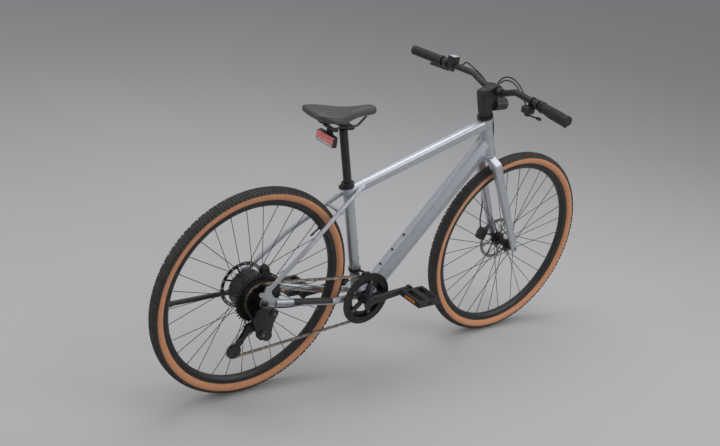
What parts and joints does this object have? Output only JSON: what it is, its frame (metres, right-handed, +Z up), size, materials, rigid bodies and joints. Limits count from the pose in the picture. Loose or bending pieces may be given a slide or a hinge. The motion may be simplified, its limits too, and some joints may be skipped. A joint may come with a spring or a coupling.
{
  "type": "hybrid bicycle",
  "caption": "Flat-bar hybrid bicycle with rigid fork, disc brakes, rear hub motor, derailleur drive, lights and kickstand; steers, rolls, pedals and brakes.",
  "frame": {"origin": "on the ground, midway between the wheel axles, in the bicycle's middle plane", "axes": "+X forward, +Y to the rider's left, +Z up"},
  "size_m": [1.8279, 0.7668, 1.0241],
  "materials": {
    "frame_paint": "silver-blue metallic paint, satin clear coat",
    "black_alloy": "satin black anodised",
    "tyre_rubber": "matte rubber with tan side walls",
    "spoke_wire": "black wire",
    "rotor_steel": "ground steel",
    "chain_steel": "brown oiled steel",
    "sprocket_steel": "dark plated steel",
    "axle_steel": "plated steel",
    "grip_rubber": "ribbed matte rubber",
    "hose_rubber": "smooth black jacket",
    "black_plastic": "moulded matte",
    "saddle_cover": "grained synthetic cover",
    "light_red": "clear red lens on a dark case"
  },
  "bodies": {
    "frame": {"head_tube": "frame_paint", "top_tube": "frame_paint", "down_tube": "frame_paint", "seat_tube": "frame_paint", "bottom_bracket_shell": "frame_paint", "dropouts": "frame_paint", "chainstays": "frame_paint", "seatstays": "frame_paint", "seat_clamp": "black_alloy", "headset_bearings": "black_alloy", "bottom_bracket_cups": "black_alloy", "bottle_bolts": "black_alloy", "rear_axle": "axle_steel", "rear_caliper": "black_alloy", "chain_guide": "black_plastic", "chain": "chain_steel", "derailleur_cage": "black_alloy", "derailleur_body": "black_alloy", "kickstand_bracket": "black_alloy", "rear_cables": "hose_rubber"},
    "fork": {"fork_crown": "frame_paint", "fork_legs": "frame_paint", "front_axle": "axle_steel", "front_caliper": "black_alloy", "headset_spacer": "black_alloy", "stem": "black_alloy", "handlebar": "black_alloy", "grips": "grip_rubber", "lever_mounts": "black_alloy", "shifter": "black_plastic", "display": "black_plastic", "headlight": "black_plastic", "front_brake_hose": "hose_rubber", "control_cables": "hose_rubber"},
    "front_wheel": {"front_tyre": "tyre_rubber", "front_rim": "black_alloy", "front_spokes": "spoke_wire", "front_hub": "black_alloy", "front_rotor": "rotor_steel"},
    "rear_wheel": {"rear_tyre": "tyre_rubber", "rear_rim": "black_alloy", "rear_spokes": "spoke_wire", "hub_motor": "black_alloy", "rear_rotor": "rotor_steel"},
    "cassette": {"cassette": "sprocket_steel"},
    "crank": {"crank_right": "black_alloy", "crank_left": "black_alloy", "chainring": "sprocket_steel"},
    "pedal_left": {"pedal_left": "black_plastic"},
    "pedal_right": {"pedal_right": "black_plastic"},
    "guide_pulley": {"guide_pulley": "black_plastic"},
    "tension_pulley": {"tension_pulley": "black_plastic"},
    "kickstand": {"kickstand": "black_alloy"},
    "seat": {"seatpost": "black_alloy", "saddle_rails": "black_alloy", "saddle": "saddle_cover", "tail_light": "light_red"},
    "brake_lever_left": {"brake_lever_left": "black_alloy"},
    "brake_lever_right": {"brake_lever_right": "black_alloy"},
    "shift_lever": {"shift_lever": "black_plastic"}
  },
  "joints": [
    {"name": "steering", "type": "hinge", "parent": "frame", "child": "fork", "pos_m": [0.50987, 0, 0.34031], "axis": [-0.3338, 0, 0.9426], "range_deg": [-60, 60], "deforming": ["control_cables"]},
    {"name": "front_wheel_spin", "type": "hinge", "parent": "fork", "child": "front_wheel", "pos_m": [0.557, 0, 0.357], "axis": [0, 1, 0], "continuous": true},
    {"name": "rear_wheel_spin", "type": "hinge", "parent": "frame", "child": "rear_wheel", "pos_m": [-0.557, 0, 0.357], "axis": [0, 1, 0], "continuous": true},
    {"name": "crank_spin", "type": "hinge", "parent": "frame", "child": "crank", "pos_m": [-0.124, 0, 0.278], "axis": [0, 1, 0], "continuous": true, "deforming": ["chain"]},
    {"name": "cassette_spin", "type": "hinge", "parent": "frame", "child": "cassette", "pos_m": [-0.557, 0, 0.357], "axis": [0, 1, 0], "continuous": true},
    {"name": "guide_pulley_spin", "type": "hinge", "parent": "frame", "child": "guide_pulley", "pos_m": [-0.583, -0.045, 0.259], "axis": [0, 1, 0], "continuous": true},
    {"name": "tension_pulley_spin", "type": "hinge", "parent": "frame", "child": "tension_pulley", "pos_m": [-0.62942, -0.045, 0.18424], "axis": [0, 1, 0], "continuous": true},
    {"name": "pedal_left_spin", "type": "hinge", "parent": "crank", "child": "pedal_left", "pos_m": [-0.29335, 0.137, 0.26318], "axis": [0, 1, 0], "continuous": true},
    {"name": "pedal_right_spin", "type": "hinge", "parent": "crank", "child": "pedal_right", "pos_m": [0.04535, -0.137, 0.29282], "axis": [0, 1, 0], "continuous": true},
    {"name": "seatpost_slide", "type": "slide", "parent": "frame", "child": "seat", "axis": [-0.2706, 0, 0.9627], "range_m": [-0.1, 0.08]},
    {"name": "kickstand_swing", "type": "hinge", "parent": "frame", "child": "kickstand", "pos_m": [-0.517, 0.088, 0.317], "axis": [0, -1, 0], "range_deg": [0, 100]},
    {"name": "brake_lever_left_pull", "type": "hinge", "parent": "fork", "child": "brake_lever_left", "pos_m": [0.3447, 0.218, 0.9673], "axis": [0.64, 0.0938, 0.7627], "range_deg": [0, 15], "stiffness_Nm_per_rad": 1.5, "springref_deg": -5.73},
    {"name": "brake_lever_right_pull", "type": "hinge", "parent": "fork", "child": "brake_lever_right", "pos_m": [0.3447, -0.218, 0.9673], "axis": [-0.64, 0.0938, -0.7627], "range_deg": [0, 15], "stiffness_Nm_per_rad": 1.5, "springref_deg": -5.73},
    {"name": "shift_lever_push", "type": "hinge", "parent": "fork", "child": "shift_lever", "pos_m": [0.30558, -0.196, 0.95308], "axis": [0, 0, 1], "range_deg": [0, 25], "stiffness_Nm_per_rad": 0.3, "springref_deg": -5.73}
  ],
  "couplings": [
    {"joint": "cassette_spin", "follows": "crank_spin", "ratio": 1.5385},
    {"joint": "guide_pulley_spin", "follows": "crank_spin", "ratio": -3.6364},
    {"joint": "tension_pulley_spin", "follows": "crank_spin", "ratio": 3.6364}
  ]
}
